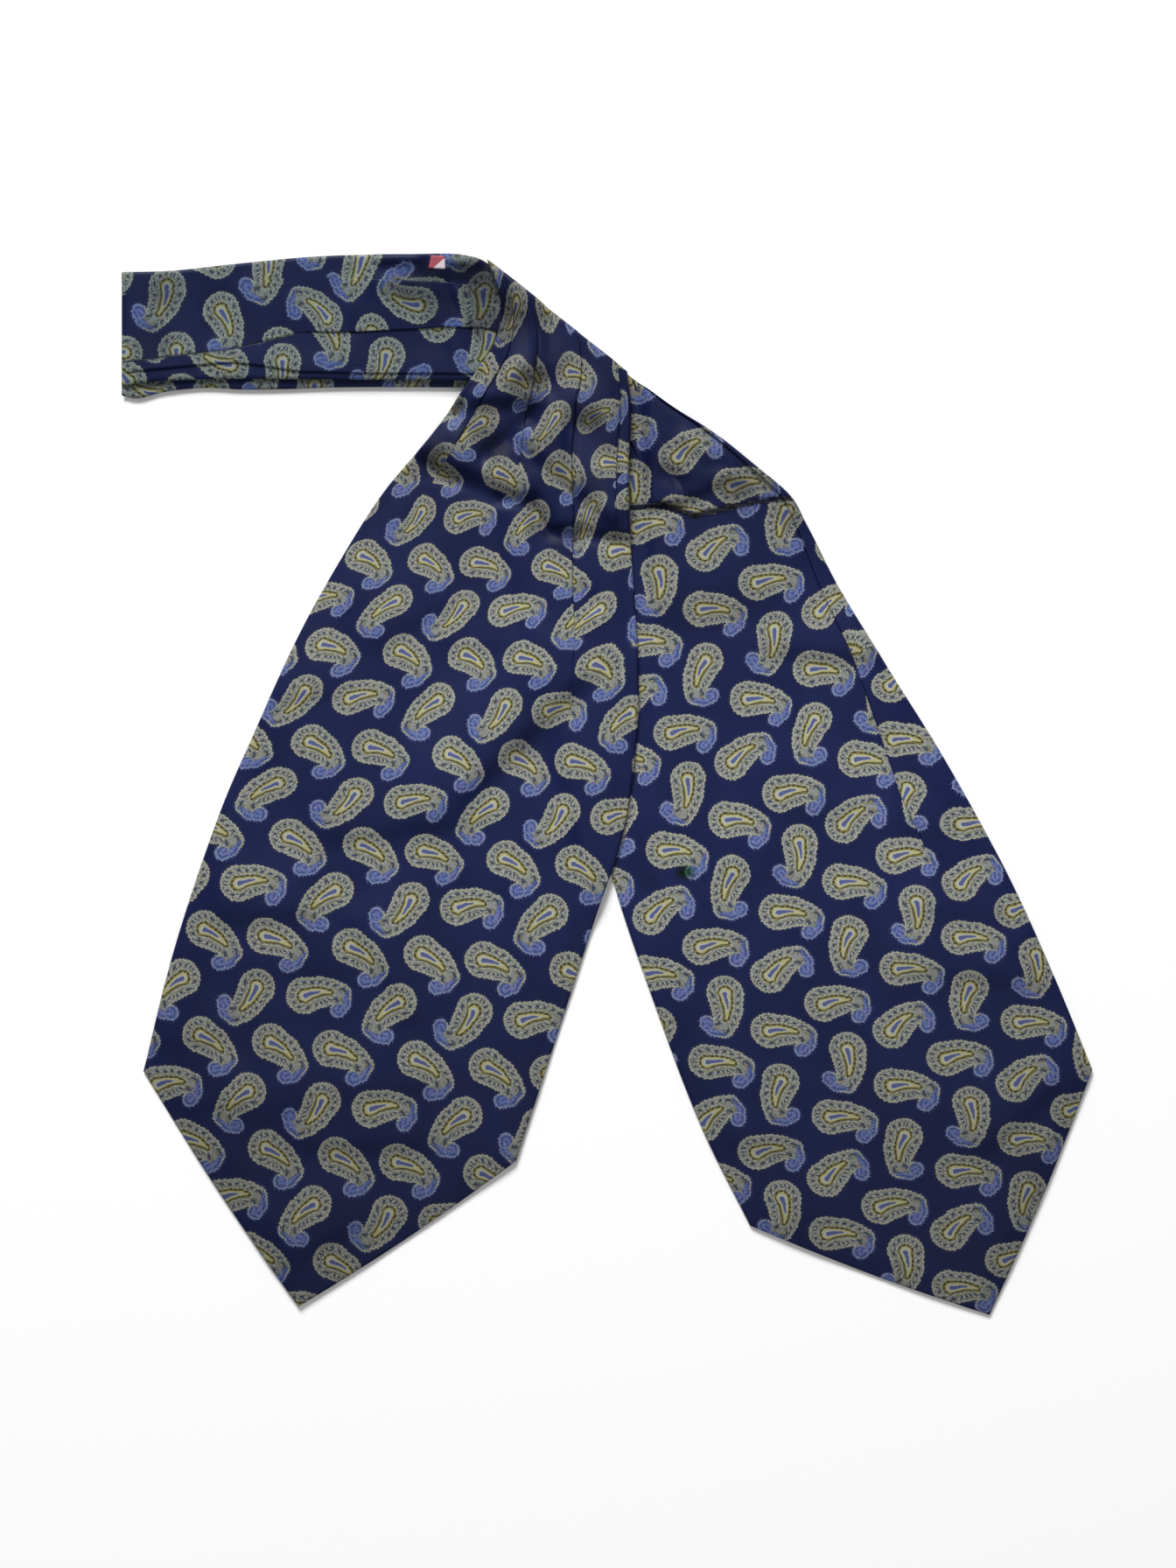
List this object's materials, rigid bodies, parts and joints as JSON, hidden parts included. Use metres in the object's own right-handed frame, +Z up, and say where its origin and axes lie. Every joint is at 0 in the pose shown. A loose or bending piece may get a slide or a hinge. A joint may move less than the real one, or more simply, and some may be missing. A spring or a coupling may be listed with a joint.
{
  "type": "cravat",
  "caption": "Silk cravat laid flat: two wide pointed blades fan from a gathered throat, with a narrow pleated neckband folded in half beside them.",
  "frame": {"origin": "centre of the cravat's outline, on the surface it lies on", "axes": "+Y along the surface from the points towards the neckband, +X to the right as seen from above, +Z up"},
  "size_m": [0.41, 0.448, 0.0118],
  "materials": {
    "printed_silk": "navy silk twill with a paisley print, soft sheen",
    "woven_label": "red and white woven ribbon, matt"
  },
  "bodies": {
    "root": {"blade_left": "printed_silk", "blade_right": "printed_silk", "band_upper": "printed_silk", "band_under": "printed_silk", "label_tab": "woven_label"}
  },
  "joints": []
}
